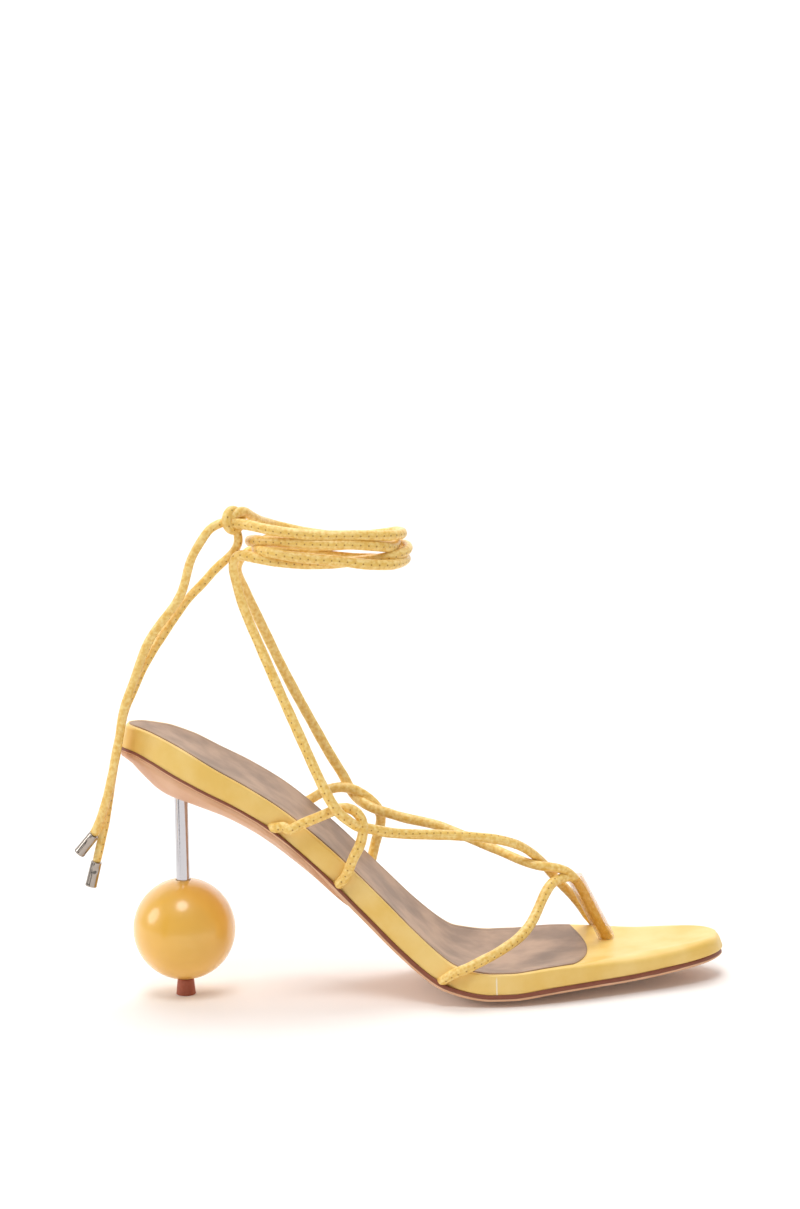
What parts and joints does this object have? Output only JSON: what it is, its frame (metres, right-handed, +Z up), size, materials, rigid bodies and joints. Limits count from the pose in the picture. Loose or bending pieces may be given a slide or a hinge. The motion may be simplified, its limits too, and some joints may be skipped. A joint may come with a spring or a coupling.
{
  "type": "strappy high-heeled sandal",
  "caption": "Right strappy sandal in yellow leather with a clear-sleeved toe post, ankle ties with hanging ends, a pointed footbed and a ball-on-rod heel.",
  "frame": {"origin": "centre of the heel tip's resting face, on the floor", "axes": "+X from heel to toe, +Y towards the inner (medial) side, which is the wearer's left on this right shoe, +Z up"},
  "size_m": [0.2378, 0.076, 0.1831],
  "materials": {
    "yellow_leather": "satin",
    "brown_edge": "satin",
    "sock_leather": "satin",
    "tan_cover": "satin",
    "chromed_steel": "polished",
    "ball_lacquer": "gloss",
    "tip_plastic": "satin",
    "clear_sleeve": "clear gloss",
    "nickel": "satin"
  },
  "bodies": {
    "root": {"outsole": "brown_edge", "footbed": "yellow_leather", "sock_lining": "sock_leather", "heel_seat": "tan_cover", "heel_rod": "chromed_steel", "heel_ball": "ball_lacquer", "heel_tip": "tip_plastic", "upper_straps": "yellow_leather", "toe_post_sleeve": "clear_sleeve", "wrap_knot": "yellow_leather", "tie_end_a": "yellow_leather", "tie_end_b": "yellow_leather", "aglet_a": "nickel", "aglet_b": "nickel"}
  },
  "joints": []
}
